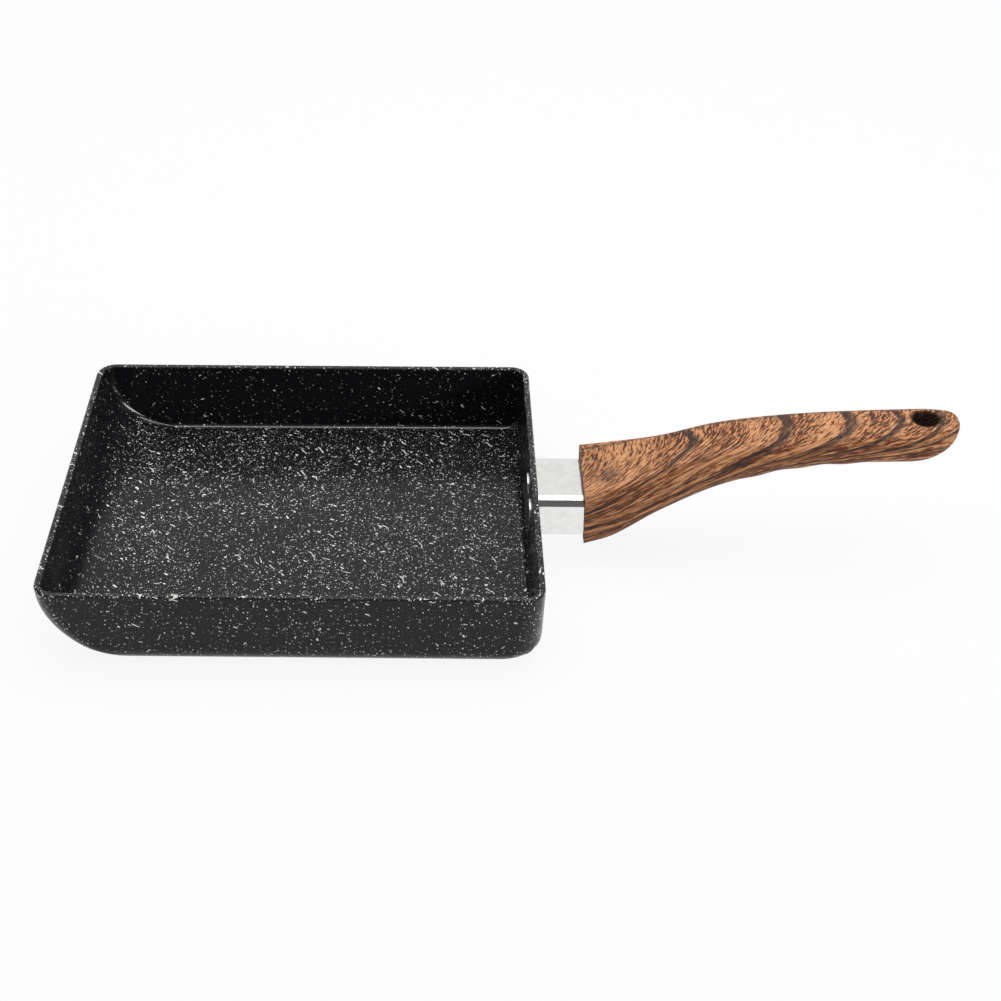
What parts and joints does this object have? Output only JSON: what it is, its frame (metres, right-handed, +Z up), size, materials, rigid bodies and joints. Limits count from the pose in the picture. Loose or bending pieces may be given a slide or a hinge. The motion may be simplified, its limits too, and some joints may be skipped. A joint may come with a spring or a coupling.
{
  "type": "tamagoyaki pan",
  "caption": "Rectangular rolled-omelette pan with one sloped end, speckled dark non-stick coat, riveted bracket and a curved wood-look handle with a hanging hole.",
  "frame": {"origin": "on the resting surface, in the middle of the pan's length and width over its rim", "axes": "+X from the sloped end towards the handle, +Y across the pan, +Z up out of the pan"},
  "size_m": [0.3406, 0.1522, 0.0604],
  "materials": {
    "speckled_coat": "dark non-stick coat with cream specks, on pressed aluminium",
    "coated_rivet": "smooth dark non-stick coat on aluminium",
    "bright_aluminium": "satin with polished edges",
    "cast_aluminium": "as cast",
    "wood_look_handle": "phenolic moulding with a brown striped wood-grain film",
    "plated_steel": "zinc plated",
    "spring_steel": "bright"
  },
  "bodies": {
    "root": {"pan_body": "speckled_coat", "rivets": "coated_rivet", "ferrule": "bright_aluminium", "handle_bracket": "cast_aluminium", "handle": "wood_look_handle", "handle_screw": "plated_steel", "spring_washer": "spring_steel"}
  },
  "joints": []
}
